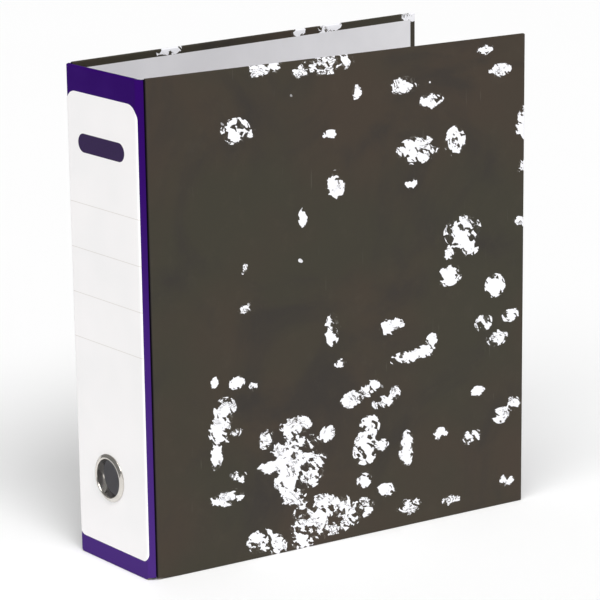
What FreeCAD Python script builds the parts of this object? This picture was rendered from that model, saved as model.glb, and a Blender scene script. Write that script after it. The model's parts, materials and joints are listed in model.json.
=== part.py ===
import FreeCAD, Part
import math
import os

Vector = FreeCAD.Vector

# A lever arch file standing upright and closed, in millimetres, +Z up.
# X runs across the spine (back cover at -X, front cover at +X) and Y from the spine to the fore-edge.
# The origin is the middle of the spine's bottom edge.

# ---- The case ----
file_height = 318.0
cover_depth = 285.0
spine_width = 80.0
board_thickness = 2.0
paper_thickness = 0.3
lining_thickness = 0.2
crease_leg = 4.0
front_splay = 7.0
turn_in = 15.0
lining_margin = 4.5
hinge_gap = 0.3
cut_margin = 1.0

# ---- The spine label and the finger ring ----
label_thickness = 0.15
label_low = 12.0
label_high = 302.0
label_low_radius = 5.5
label_high_radius = 9.5
ring_offset = -2.0
ring_height = 58.0
ring_bore = 12.3
ring_wall = 0.6
ring_flange = 15.5
ring_rise = 1.5
ring_seat_clearance = 0.05
washer_thickness = 0.6
washer_radius = 15.0
ring_curl = 0.9

# ---- The mechanism: s is the distance from the spine's lining, h the height above the back lining ----
mechanism_height = file_height / 2
plate_start = 16.0
plate_width = 64.0
plate_length = 152.0
plate_thickness = 1.2
plate_corner = 6.0
bead_radius = 1.4
bead_rise = 0.8
rivet_inset_s = 4.5
rivet_inset_z = 6.0
rivet_shank = 1.8
rivet_seat_clearance = 0.05
rivet_head = 4.2
rivet_head_rise = 0.9

hole_spacing = 80.0
post_distance = 73.0
post_radius = 2.3
post_bore = 1.2
post_top = 45.0
post_collar_radius = 3.6
post_collar_rise = 1.0

wire_radius = 2.2
shaft_distance = 28.0
shaft_height = 5.5
shaft_clearance = 0.06
foot_bend = 5.0
crown_height = 60.8
crown_radius = 15.0
tip_gap = 0.2
tip_cone_radius = 1.5
tip_cone_depth = 1.2
tip_clearance = 0.12

ear_thickness = 1.6
ear_radius = 4.4
shaft_ear_offset = 34.0
spring_clearance = 0.15
spring_wire = 1.5
spring_low = -22.0
spring_high = 6.0

rocker_reach = 22.0
rocker_low = 10.0
rocker_high = 31.0
rocker_thickness = 1.6

lever_pivot_offset = 38.0
lever_reach = 63.0
lever_width = 13.0
lever_inner_edge = 39.5
lever_sheet = 1.5
lever_pin_radius = 2.0
lever_pin_head = 3.2
lever_pin_head_rise = 0.9
lever_side_gap = 0.5
pin_clearance = 0.06
web_rise = 5.0
thumb_radius = 9.0
thumb_bend_start = 44.0
thumb_lift = 3.0
cheek_length = 30.8
neck_wall = 1.5
roller_radius = 5.0
roller_arm = 11.4
roller_arm_angle = 14.5
roller_pin_radius = 1.5
roller_side_gap = 0.2
roller_gap = 0.1
roller_chamfer = 0.4

bar_width = 13.0
bar_rest_gap = 0.4
bar_sheet = 1.0
bar_end = 58.0
bar_flange = 3.8
bar_flange_sheet = 0.8
bar_post_clearance = 0.6
tab_side_gap = 0.3
tab_pivot_offset = 52.0
tab_pivot_radius = 1.6
tab_floor_gap = 0.35
tab_thickness = 4.4
tab_inner_end = 30.0
tab_slot_half = 3.0
tab_slot_end = 44.0
tab_grip_radius = 1.0
tab_grip_pitch = 2.6
tab_grip_count = 3
tab_pin_radius = 0.8

# ---- Places that follow from the sizes above ----
wall = board_thickness + 2 * paper_thickness + lining_thickness
spine_outer = -wall / 2
spine_inner = wall / 2
flat_half = spine_width / 2 - crease_leg
cover_near = spine_outer + crease_leg
cover_length = cover_depth - crease_leg
lining_plane = wall - spine_width / 2
hinge_x = (flat_half - lining_plane) / 2
hinge_y = (spine_inner + cover_near) / 2
spring_inner = wire_radius + spring_clearance
spring_outer = spring_inner + spring_wire
post_z = (mechanism_height + hole_spacing / 2, mechanism_height - hole_spacing / 2)
plate_end = plate_start + plate_width
plate_low = mechanism_height - plate_length / 2
plate_high = mechanism_height + plate_length / 2
rivet_s = (plate_start + rivet_inset_s, plate_end - rivet_inset_s)
rivet_z = (plate_low + rivet_inset_z, plate_high - rivet_inset_z)
rivet_spots = [(s, z) for s in rivet_s for z in rivet_z]
lever_outer_edge = lever_inner_edge + lever_width
lever_z = mechanism_height + lever_pivot_offset
roller_height = shaft_height + wire_radius + roller_radius + roller_gap
lever_height = roller_height + roller_arm * math.sin(math.radians(roller_arm_angle))
roller_z = lever_z - roller_arm * math.cos(math.radians(roller_arm_angle))
bar_low = plate_thickness + post_collar_rise + bar_rest_gap
bar_top = bar_low + bar_sheet
bar_near = post_distance - bar_width / 2
bar_far = post_distance + bar_width / 2
tab_pin_height = bar_top + tab_floor_gap + tab_pivot_radius

ALONG_S = Vector(0, 1, 0)
ALONG_H = Vector(1, 0, 0)
ALONG_Z = Vector(0, 0, 1)


def save(shape, node):
    """Write one piece to its own file."""
    shape.exportStep(os.path.join("parts", node + ".step"))


def box(low, high):
    """A block between two opposite corners."""
    size = [b - a for a, b in zip(low, high)]
    return Part.makeBox(*size, Vector(*low))


def spot(s, h, z):
    """A point of the mechanism as a point of the file."""
    return Vector(lining_plane + h, spine_inner + s, z)


def slab(s, h, z):
    """A block of the mechanism, given its range along each direction."""
    return box(spot(s[0], h[0], z[0]), spot(s[1], h[1], z[1]))


def rod(s, h, z, radius, length, axis):
    """A round bar of the mechanism that starts at a place and runs along an axis."""
    return Part.makeCylinder(radius, length, spot(s, h, z), axis)


def plate_from(points, travel):
    """A flat outline of points, pushed along travel into a solid."""
    outline = Part.makePolygon(points + [points[0]])
    return Part.Face(outline).extrude(travel)


def edges_along(shape, axis):
    """The straight edges of a shape that run along an axis."""
    return [e for e in shape.Edges if abs(e.tangentAt(e.FirstParameter).dot(axis)) > math.sqrt(0.5)]


def joined(first, *others):
    """One solid from touching pieces."""
    return first.fuse(list(others)).removeSplitter()


# ---- The case: three boards, each with its covering paper turned in under its lining ----
def panel(length, folded_end):
    """Board, covering and lining of one panel: thickness along X from outside in, length along Y.

    The covering is turned in at the top and bottom, and at the far end where folded_end is set."""
    skin = paper_thickness
    inside = skin + board_thickness
    covered = inside + skin
    far_skin = skin if folded_end else 0
    far_fold = turn_in if folded_end else 0
    far_margin = lining_margin if folded_end else 0
    board = box((skin, 0, skin), (inside, length - far_skin, file_height - skin))
    window = box((inside, 0, turn_in), (covered, length - far_fold, file_height - turn_in))
    covering = box((0, 0, 0), (covered, length, file_height)).cut(board).cut(window)
    sheet_low = (inside, 0, lining_margin)
    sheet_high = (wall, length - far_margin, file_height - lining_margin)
    lining = box(sheet_low, sheet_high).cut(covering)
    return board, covering, lining


def on_back(shape):
    """Move a panel's piece to the back cover."""
    return shape.translated(Vector(-spine_width / 2, cover_near, 0))


def splayed(shape):
    """Turn a piece of the front cover outwards about the front crease."""
    return shape.rotated(Vector(hinge_x, hinge_y, 0), ALONG_Z, -front_splay)


def on_front(shape):
    """Mirror a back cover's piece to the front cover."""
    return splayed(on_back(shape).mirror(Vector(0, 0, 0), ALONG_H))


def on_spine(shape):
    """Turn a panel's piece to face outwards from the spine."""
    turned = shape.rotated(Vector(0, 0, 0), ALONG_Z, 90)
    return turned.translated(Vector(flat_half, spine_outer, 0))


def crease_strip(start, end, thickness, inner_side):
    """A strip on the back cover's side that bends at the crease, from the spine's corner to the cover's.

    Its thickness is laid towards the inside or the outside of the corner."""
    along = (end - start).normalize()
    across = Vector(-along.y, along.x, 0) * (-thickness if inner_side else thickness)
    slide = -across.x / along.x
    points = [start, end, end + across, start + across + along * slide]
    return plate_from(points, ALONG_Z * file_height)


def crease_strips(side):
    """The covering's and the lining's strips at one crease, clear of the cover that hangs on it."""
    outer_start = Vector(-flat_half, spine_outer, 0)
    outer_end = Vector(-spine_width / 2, cover_near, 0)
    inner_start = Vector(-flat_half, spine_inner, 0)
    inner_end = Vector(lining_plane, cover_near, 0)
    keep_low = (-spine_width, cover_near - hinge_gap, -cut_margin)
    keep_high = (0, cover_near + cover_length, file_height + cut_margin)
    keep = box(keep_low, keep_high)
    covering = crease_strip(outer_start, outer_end, paper_thickness, True)
    lining = crease_strip(inner_start, inner_end, lining_thickness, False)
    if side == "front":
        covering = covering.mirror(Vector(0, 0, 0), ALONG_H)
        lining = lining.mirror(Vector(0, 0, 0), ALONG_H)
        keep = splayed(keep.mirror(Vector(0, 0, 0), ALONG_H))
    trim = box((-spine_width, -wall, -cut_margin), (spine_width, cover_depth, lining_margin))
    trim_top = trim.translated(Vector(0, 0, file_height - lining_margin + cut_margin))
    return covering.cut(keep), lining.cut(keep).cut(trim).cut(trim_top)


# ---- The spine label and the finger ring ----
def ring_hole(radius):
    """The finger hole's cylinder, long enough to pass through the spine."""
    return Part.makeCylinder(radius, 4 * wall, Vector(ring_offset, -2 * wall, ring_height), ALONG_S)


def spine_label():
    """A thin card over the spine's flat, with rounded corners and the finger hole."""
    half = flat_half
    card = box((-half, spine_outer - label_thickness, label_low), (half, spine_outer, label_high))
    low = [e for e in edges_along(card, ALONG_S) if e.CenterOfMass.z < ring_height]
    card = card.makeFillet(label_low_radius, low)
    high = [e for e in edges_along(card, ALONG_S) if e.CenterOfMass.z > ring_height]
    card = card.makeFillet(label_high_radius, high)
    return card.cut(ring_hole(ring_bore + ring_wall + ring_seat_clearance))


def revolved(points, arc_middle):
    """A ring about the finger hole's axis from a profile of (radius, y), its first side an arc."""
    corners = [Vector(r, y, 0) for r, y in points]
    edges = [Part.Arc(corners[0], Vector(arc_middle[0], arc_middle[1], 0), corners[1]).toShape()]
    for a, b in zip(corners[1:], corners[2:] + corners[:1]):
        edges.append(Part.LineSegment(a, b).toShape())
    solid = Part.Face(Part.Wire(edges)).revolve(Vector(0, 0, 0), ALONG_S, 360)
    return solid.translated(Vector(ring_offset, 0, ring_height))


def finger_ring():
    """The ring's barrel through the spine, with a rolled lip outside and its end curled over inside."""
    face = spine_outer - label_thickness
    barrel = ring_bore + ring_wall
    seat = spine_inner + washer_thickness
    end = seat + ring_curl
    lip = [(ring_bore, face - ring_wall), (ring_flange, face)]
    inner = [(barrel, face), (barrel, seat), (barrel + ring_curl, seat)]
    curl = [(barrel + ring_curl, end - ring_wall / 2), (barrel, end), (ring_bore, end)]
    crest = ((ring_bore + ring_flange) / 2 - ring_wall / 2, face - ring_rise)
    return revolved(lip + inner + curl, crest)


def finger_ring_washer():
    """The flat ring that the barrel's end is curled over."""
    barrel = ring_bore + ring_wall
    place = Vector(ring_offset, spine_inner, ring_height)
    disc = Part.makeCylinder(washer_radius, washer_thickness, place, ALONG_S)
    return disc.cut(ring_hole(barrel))


# ---- The mechanism's base on the back cover ----
def rivet_holes(radius):
    """The four rivets' holes, through the base and the back cover."""
    start = -wall - cut_margin
    length = wall + plate_thickness + 2 * cut_margin
    return Part.makeCompound([rod(s, start, z, radius, length, ALONG_H) for s, z in rivet_spots])


def base_rivets():
    """Four rivets, each with a domed head inside and outside."""
    low = -wall
    high = plate_thickness
    rivets = []
    for s, z in rivet_spots:
        shank = rod(s, low, z, rivet_shank, high - low, ALONG_H)
        heads = [domed_head(s, high, z, ALONG_H), domed_head(s, low, z, -ALONG_H)]
        rivets.append(joined(shank, *heads))
    return Part.makeCompound(rivets)


def domed_head(s, h, z, outward):
    """A rivet's head: the cap of a sphere that stands on a face."""
    ball = (rivet_head**2 + rivet_head_rise**2) / (2 * rivet_head_rise)
    seat = spot(s, h, z)
    centre = seat + outward * (rivet_head_rise - ball)
    sphere = Part.makeSphere(ball, centre)
    keep = Part.makeCylinder(rivet_head + cut_margin, rivet_head_rise + cut_margin, seat, outward)
    return sphere.common(keep)


def ear(s, h, z, thickness, axis, radius):
    """An upright lug whose round top is centred on a pin that runs along axis."""
    top = rod(s, h, z, radius, thickness, axis)
    if axis is ALONG_Z:
        foot = slab((s - radius, s + radius), (0, h), (z, z + thickness))
    else:
        foot = slab((s, s + thickness), (0, h), (z - radius, z + radius))
    return joined(top, foot)


def base_plate():
    """The pressed base: a plate with two beads, two lugs for the arches' shaft and two for the lever."""
    plate = slab((plate_start, plate_end), (0, plate_thickness), (plate_low, plate_high))
    plate = plate.makeFillet(plate_corner, edges_along(plate, ALONG_H))
    bead_top = plate_thickness + bead_rise
    bead_height = bead_top - bead_radius
    bead_length = plate_length - 4 * plate_corner
    bead_start = mechanism_height - bead_length / 2
    lugs = []
    for s in (plate_start + rivet_inset_s, plate_end - bar_width - rivet_inset_s):
        bead = rod(s, bead_height, bead_start, bead_radius, bead_length, ALONG_Z)
        above = slab((s - bead_radius, s + bead_radius), (0, bead_top), (plate_low, plate_high))
        lugs.append(bead.common(above))
    for side in (-1, 1):
        z = mechanism_height + side * shaft_ear_offset - ear_thickness / 2
        lugs.append(ear(shaft_distance, shaft_height, z, ear_thickness, ALONG_Z, ear_radius))
    near = lever_inner_edge - lever_side_gap - ear_thickness
    far = lever_outer_edge + lever_side_gap
    for s in (near, far):
        lugs.append(ear(s, lever_height, lever_z, ear_thickness, ALONG_S, ear_radius))
    shaft_fit = wire_radius + shaft_clearance
    shaft = rod(shaft_distance, shaft_height, plate_low, shaft_fit, plate_length, ALONG_Z)
    lever_hole = rod(near, lever_height, lever_z, lever_pin_radius, far - near + ear_thickness, ALONG_S)
    holes = [rod(post_distance, 0, z, post_radius, plate_thickness, ALONG_H) for z in post_z]
    return joined(plate, *lugs).cut([shaft, lever_hole, rivet_holes(rivet_shank)] + holes)


def post(z):
    """A fixed tube with a collar at its foot and a cone in its mouth for the arch's tip."""
    tube = rod(post_distance, 0, z, post_radius, post_top, ALONG_H)
    collar = rod(post_distance, plate_thickness, z, post_collar_radius, post_collar_rise, ALONG_H)
    bore = rod(post_distance, plate_thickness, z, post_bore, post_top, ALONG_H)
    mouth = Part.makeCone(
        0,
        tip_cone_radius + tip_clearance,
        tip_cone_depth,
        spot(post_distance, post_top - tip_cone_depth, z),
        ALONG_H,
    )
    return joined(tube, collar).cut(bore).cut(mouth)


def lever_pin():
    """The lever's pin, headed outside both lugs."""
    start = lever_inner_edge - lever_side_gap - ear_thickness
    end = lever_outer_edge + lever_side_gap + ear_thickness
    rise = lever_pin_head_rise
    shank = rod(start, lever_height, lever_z, lever_pin_radius, end - start, ALONG_S)
    first = rod(start - rise, lever_height, lever_z, lever_pin_head, rise, ALONG_S)
    last = rod(end, lever_height, lever_z, lever_pin_head, rise, ALONG_S)
    return joined(shank, first, last)


# ---- The arches, one bent wire ----
def arch_wire():
    """Two arches and the shaft between them, in one round wire, with a cone at each tip."""
    upper, lower = post_z
    crown_centre = crown_height - crown_radius
    near_leg = shaft_distance
    far_leg = post_distance
    tip = post_top + tip_gap
    slant = math.sqrt(0.5)
    edges = []

    def line(a, b):
        edges.append(Part.LineSegment(spot(*a), spot(*b)).toShape())

    def arc(a, b, c):
        edges.append(Part.Arc(spot(*a), spot(*b), spot(*c)).toShape())

    def crown(z, order):
        """One arch's run from its tip to its foot, or the other way."""
        near_s = near_leg + crown_radius
        far_s = far_leg - crown_radius
        out = crown_radius * slant
        shoulder = crown_centre + out
        steps = [
            (line, [(far_leg, tip, z), (far_leg, crown_centre, z)]),
            (arc, [(far_leg, crown_centre, z), (far_s + out, shoulder, z), (far_s, crown_height, z)]),
            (line, [(far_s, crown_height, z), (near_s, crown_height, z)]),
            (arc, [(near_s, crown_height, z), (near_s - out, shoulder, z), (near_leg, crown_centre, z)]),
            (line, [(near_leg, crown_centre, z), (near_leg, shaft_height + foot_bend, z)]),
        ]
        for make, points in steps[::order]:
            make(*points[::order])

    def foot(z, side, order):
        """The bend from an arch's leg into the shaft."""
        rise = foot_bend * (1 - slant)
        points = [
            (near_leg, shaft_height + foot_bend, z),
            (near_leg, shaft_height + rise, z - side * rise),
            (near_leg, shaft_height, z - side * foot_bend),
        ]
        arc(*points[::order])

    crown(upper, 1)
    foot(upper, 1, 1)
    line((near_leg, shaft_height, upper - foot_bend), (near_leg, shaft_height, lower + foot_bend))
    foot(lower, -1, -1)
    crown(lower, -1)
    circle = Part.Wire(Part.makeCircle(wire_radius, spot(far_leg, tip, upper), ALONG_H))
    wire = Part.Wire(edges).makePipeShell([circle], True, False)
    points = [spot(far_leg, tip - tip_cone_depth, z) for z in post_z]
    cones = [Part.makeCone(0, tip_cone_radius, tip_cone_depth, point, ALONG_H) for point in points]
    return joined(wire, *cones)


def arch_rocker():
    """A plate welded along the shaft, its far edge rolled to a round bar that the roller holds down."""
    low = mechanism_height + rocker_low
    length = rocker_high - rocker_low
    reach = shaft_distance + rocker_reach
    half = rocker_thickness / 2
    top = shaft_height + half
    sheet = slab((shaft_distance, reach), (shaft_height - half, top), (low, low + length))
    edge = rod(reach, shaft_height, low, wire_radius, length, ALONG_Z)
    sleeve = rod(shaft_distance, shaft_height, low, wire_radius + half, length, ALONG_Z)
    shaft = rod(shaft_distance, shaft_height, low, wire_radius, length, ALONG_Z)
    return joined(sheet, edge, sleeve).cut(shaft)


def arch_spring():
    """The space of the coiled spring round the shaft."""
    low = mechanism_height + spring_low
    length = spring_high - spring_low
    outside = rod(shaft_distance, shaft_height, low, spring_outer, length, ALONG_Z)
    return outside.cut(rod(shaft_distance, shaft_height, low, spring_inner, length, ALONG_Z))


# ---- The lever with its roller ----
def lever_profile():
    """The lever's sheet seen from the side: straight, then a gentle lift to the thumb end."""
    top = lever_height + web_rise
    low = top - lever_sheet
    lift_z = lever_z - thumb_bend_start
    end_z = lever_z - lever_reach
    middle_z = (lift_z + end_z) / 2
    sag = thumb_lift / 4
    upper = [spot(0, top, lift_z), spot(0, top + sag, middle_z), spot(0, top + thumb_lift, end_z)]
    lower = [p - ALONG_H * lever_sheet for p in upper]
    start_low = spot(0, low, lever_z)
    start_top = spot(0, top, lever_z)
    edges = [
        Part.LineSegment(start_low, start_top).toShape(),
        Part.LineSegment(start_top, upper[0]).toShape(),
        Part.Arc(*upper).toShape(),
        Part.LineSegment(upper[2], lower[2]).toShape(),
        Part.Arc(*lower[::-1]).toShape(),
        Part.LineSegment(lower[0], start_low).toShape(),
    ]
    return Part.Face(Part.Wire(edges))


def lever():
    """A folded sheet: two cheeks on the pin, a web between them, and a handle with a round thumb end."""
    top = lever_height + web_rise
    middle = (lever_inner_edge + lever_outer_edge) / 2
    spread = thumb_radius
    sheet = lever_profile().extrude(ALONG_S * (middle + spread)).common(
        slab((middle - spread, middle + spread), (0, crown_height), (0, file_height))
    )
    thumb_z = lever_z - lever_reach + thumb_radius
    stem = slab((lever_inner_edge, lever_outer_edge), (0, crown_height), (thumb_z, lever_z))
    thumb = rod(middle, 0, thumb_z, thumb_radius, crown_height, ALONG_H)
    sheet = sheet.common(joined(stem, thumb))
    neck = roller_pin_radius + neck_wall
    cheek_end = lever_z - cheek_length
    outline = [
        (top, lever_z),
        (top, cheek_end),
        (top - 2 * lever_sheet, cheek_end),
        (roller_height - neck, roller_z - neck),
        (roller_height - neck, roller_z + neck),
        (lever_height - web_rise, lever_z),
    ]
    cheeks = []
    for s in (lever_inner_edge, lever_outer_edge - lever_sheet):
        flat = plate_from([spot(s, h, z) for h, z in outline], ALONG_S * lever_sheet)
        cheeks.append(joined(flat, rod(s, lever_height, lever_z, web_rise, lever_sheet, ALONG_S)))
    pin = rod(0, lever_height, lever_z, lever_pin_radius + pin_clearance, plate_end, ALONG_S)
    axle = rod(0, roller_height, roller_z, roller_pin_radius, plate_end, ALONG_S)
    return joined(sheet, *cheeks).cut([pin, axle])


def roller_pin():
    """The roller's axle, riveted flush into both cheeks."""
    return rod(lever_inner_edge, roller_height, roller_z, roller_pin_radius, lever_width, ALONG_S)


def roller():
    """The roller that turns on its axle and rides on the rocker's round edge."""
    start = lever_inner_edge + lever_sheet + roller_side_gap
    length = lever_width - 2 * (lever_sheet + roller_side_gap)
    wheel = rod(start, roller_height, roller_z, roller_radius, length, ALONG_S)
    rims = [e for e in wheel.Edges if len(e.Vertexes) == 1]
    bore = rod(start, roller_height, roller_z, roller_pin_radius + pin_clearance, length, ALONG_S)
    return wheel.makeChamfer(roller_chamfer, rims).cut(bore)


# ---- The compressor bar with its two lock tabs ----
def compressor_bar():
    """A shallow channel that slides on both posts and holds the paper down."""
    low = mechanism_height - bar_end
    high = mechanism_height + bar_end
    sheet = slab((bar_near, bar_far), (bar_low, bar_top), (low, high))
    sheet = sheet.makeFillet(bar_width / 3, edges_along(sheet, ALONG_H))
    straight = bar_end - bar_width / 3
    pieces = []
    for s in (bar_near, bar_far - bar_flange_sheet):
        height = (bar_top, bar_top + bar_flange)
        length = (mechanism_height - straight, mechanism_height + straight)
        pieces.append(slab((s, s + bar_flange_sheet), height, length))
    hole = post_radius + bar_post_clearance
    cuts = [rod(post_distance, 0, z, hole, post_top, ALONG_H) for z in post_z]
    return joined(sheet, *pieces).cut(cuts + [tab_pin_at(side) for side in (1, -1)])


def tab_pin_at(side):
    """One lock tab's pin, across the channel."""
    z = mechanism_height + side * tab_pivot_offset
    return rod(bar_near, tab_pin_height, z, tab_pin_radius, bar_width, ALONG_S)


def lock_tab(side):
    """A moulded tab that straddles a post and tips about its pin, with ribs for the finger."""
    near = bar_near + bar_flange_sheet + tab_side_gap
    far = bar_far - bar_flange_sheet - tab_side_gap
    low = tab_pin_height - tab_pivot_radius
    pivot_z = mechanism_height + side * tab_pivot_offset
    end_z = mechanism_height + side * tab_inner_end
    slot_z = mechanism_height + side * tab_slot_end
    beyond_z = end_z - side * cut_margin
    body = slab((near, far), (low, low + tab_thickness), sorted((pivot_z, end_z)))
    heel = rod(near, tab_pin_height, pivot_z, tab_pivot_radius, far - near, ALONG_S)
    ribs = []
    for step in range(tab_grip_count):
        z = slot_z + side * (tab_grip_radius + tab_grip_pitch * step)
        ribs.append(rod(near, low + tab_thickness, z, tab_grip_radius, far - near, ALONG_S))
    slot_width = (post_distance - tab_slot_half, post_distance + tab_slot_half)
    slot = slab(slot_width, (0, post_top), sorted((slot_z, beyond_z)))
    hole = rod(near, tab_pin_height, pivot_z, tab_pin_radius + pin_clearance, far - near, ALONG_S)
    return joined(body, heel, *ribs).cut([slot, hole])


# ---- Every piece to its own file ----
os.makedirs("parts", exist_ok=True)

for name, length, folded, place in (
    ("front", cover_length, True, on_front),
    ("back", cover_length, True, on_back),
    ("spine", 2 * flat_half, False, on_spine),
):
    pieces = [place(piece) for piece in panel(length, folded)]
    if name == "back":
        holes = rivet_holes(rivet_shank + rivet_seat_clearance)
        pieces = [piece.cut(holes) for piece in pieces]
    if name == "spine":
        hole = ring_hole(ring_bore + ring_wall + ring_seat_clearance)
        pieces = [piece.cut(hole) for piece in pieces]
    for piece, kind in zip(pieces, ("board", "covering", "lining")):
        save(piece, name + "_" + kind)

for side in ("front", "back"):
    covering_strip, lining_strip = crease_strips(side)
    save(covering_strip, side + "_crease")
    save(lining_strip, side + "_crease_lining")

save(spine_label(), "spine_label")
save(finger_ring(), "finger_ring")
save(finger_ring_washer(), "finger_ring_washer")

save(base_plate(), "base_plate")
save(base_rivets(), "base_rivets")
save(post(post_z[0]), "post_upper")
save(post(post_z[1]), "post_lower")
save(lever_pin(), "lever_pin")
save(arch_wire(), "arch_wire")
save(arch_rocker(), "arch_rocker")
save(arch_spring(), "arch_spring")
save(lever(), "lever")
save(roller(), "roller")
save(roller_pin(), "roller_pin")
save(compressor_bar(), "compressor_bar")
save(lock_tab(1), "lock_tab_upper")
save(lock_tab(-1), "lock_tab_lower")
save(Part.makeCompound([tab_pin_at(1), tab_pin_at(-1)]), "lock_tab_pins")
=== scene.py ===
import json
import math

import bmesh
import bpy
import numpy as np
from mathutils import Matrix, Vector


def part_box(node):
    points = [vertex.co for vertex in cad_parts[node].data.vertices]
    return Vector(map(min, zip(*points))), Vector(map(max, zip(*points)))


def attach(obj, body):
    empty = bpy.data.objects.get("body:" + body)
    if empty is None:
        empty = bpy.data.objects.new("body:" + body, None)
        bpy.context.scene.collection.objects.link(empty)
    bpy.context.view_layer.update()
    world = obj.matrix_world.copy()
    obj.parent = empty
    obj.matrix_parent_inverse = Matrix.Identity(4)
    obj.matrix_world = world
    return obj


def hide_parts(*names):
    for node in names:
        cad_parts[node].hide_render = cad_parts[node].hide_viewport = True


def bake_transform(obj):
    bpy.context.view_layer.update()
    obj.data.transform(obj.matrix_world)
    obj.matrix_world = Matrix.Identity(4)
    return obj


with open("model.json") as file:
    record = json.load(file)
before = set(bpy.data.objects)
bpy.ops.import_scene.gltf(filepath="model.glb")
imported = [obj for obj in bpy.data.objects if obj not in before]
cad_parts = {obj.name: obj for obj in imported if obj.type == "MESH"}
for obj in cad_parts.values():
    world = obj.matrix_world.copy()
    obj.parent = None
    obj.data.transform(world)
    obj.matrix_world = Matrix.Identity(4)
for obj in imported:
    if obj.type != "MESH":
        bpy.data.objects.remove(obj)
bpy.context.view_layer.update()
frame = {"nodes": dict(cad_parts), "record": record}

MM = 0.001

# ---- Places taken from the frame ----
joints = {joint["name"]: joint for joint in frame["record"]["behaviour"]["joints"]}
front_hinge = Vector(joints["front_cover_hinge"]["pos_m"])
splay = math.radians(-joints["front_cover_hinge"]["range_deg"][0])
finger_hole = next(m for m in frame["record"]["mounts"] if m["name"] == "finger_hole")
spine_low, spine_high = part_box("spine_covering")
back_low, back_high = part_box("back_covering")
label_low, label_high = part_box("spine_label")
ring_low, ring_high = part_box("finger_ring")
wire_low, wire_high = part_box("arch_wire")
post_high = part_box("post_upper")[1]
rocker_low, rocker_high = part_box("arch_rocker")
spring_low, spring_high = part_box("arch_spring")
lining_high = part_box("spine_lining")[1]
back_lining_low, back_lining_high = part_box("back_lining")

FILE_HEIGHT = spine_high.z
COVER_LENGTH = back_high.y - back_low.y
COVER_THICKNESS = back_high.x - back_low.x
FLAT_HALF = spine_high.x
RING_X, _, RING_Z = finger_hole["pos_m"]
RING_BORE = finger_hole["dims"]["r_mm"] * MM
RING_FLANGE = (ring_high.x - ring_low.x) / 2
BARREL_RADIUS = RING_BORE + 0.5 * MM

# ---- Finish sizes ----
PAPER_THICKNESS = 0.3 * MM
FOLD_RADIUS = 0.9 * MM
SHOULDER_RADIUS = 1.6 * MM
SHOULDER_START = 0.3 * MM
CORNER_RADIUS = 1.0 * MM
LOW_DRAW = 2.2 * MM
HIGH_DRAW = 0.6 * MM
SOFT_CORNER = 20.0 * MM
JOINT_GAP = 1.3 * MM
LABEL_OVERHANG = 1.4 * MM
LABEL_TOP_RADIUS = 9.5 * MM
LABEL_LOW_RADIUS = 5.5 * MM
# These heights come from the camera's fit. The last two lie 0.1 mm above its result.
LABEL_LINES = [231.7 * MM, 202.6 * MM, 173.5 * MM, 144.4 * MM]
LABEL_LINE_HALF = 0.22 * MM
PATCH_CENTRE = (-0.9 * MM, 270.5 * MM)
PATCH_HALF = (24.6 * MM, 6.0 * MM)
WIRE_RADIUS = 2.2 * MM
CROWN_RADIUS = 15.0 * MM
FOOT_RADIUS = 5.0 * MM
TIP_GAP = 0.2 * MM
SPRING_WIRE = 0.62 * MM
SPRING_TURNS = 14.25
COVER_STEP = 1.8 * MM
BOARD_EDGE = 0.3 * MM
BOARD_STEP = 20.0 * MM
FLOOR_HALF = 40.0
# The camera's values come from a separate fit, not from the frame.
CAMERA_PLACE = (1.417127, -0.973011, 0.629401)
CAMERA_RIGHT = (0.624033, 0.781305, -0.012046)
CAMERA_UP = (-0.19386, 0.169734, 0.966234)
CAMERA_LENS = 171.81
SENSOR_WIDTH = 36
REVOLVE_SIDES = 96
WIRE_STEP = 1.5 * MM


# ---- Shader maths ----
class Value:
    """A socket of a material. Arithmetic on it adds Math nodes."""

    def __init__(self, paint, socket):
        """A socket and the paint it belongs to."""
        self.paint = paint
        self.socket = socket

    def math(self, operation, a, b=0.0, clamp=False):
        """One Math node on one or two values."""
        return self.paint.node("Math", {"operation": operation, "use_clamp": clamp}, {0: a, 1: b})

    def __add__(self, other):
        return self.math("ADD", self, other)

    def __radd__(self, other):
        return self.math("ADD", other, self)

    def __sub__(self, other):
        return self.math("SUBTRACT", self, other)

    def __rsub__(self, other):
        return self.math("SUBTRACT", other, self)

    def __mul__(self, other):
        return self.math("MULTIPLY", self, other)

    def __rmul__(self, other):
        return self.math("MULTIPLY", other, self)

    def __abs__(self):
        return self.math("ABSOLUTE", self)

    def larger(self, other):
        """The larger of two values."""
        return self.math("MAXIMUM", self, other)

    def root(self):
        """The square root."""
        return self.math("SQRT", self)

    def clamped(self):
        """The value kept between 0 and 1."""
        return self.math("ADD", self, 0.0, clamp=True)


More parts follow.
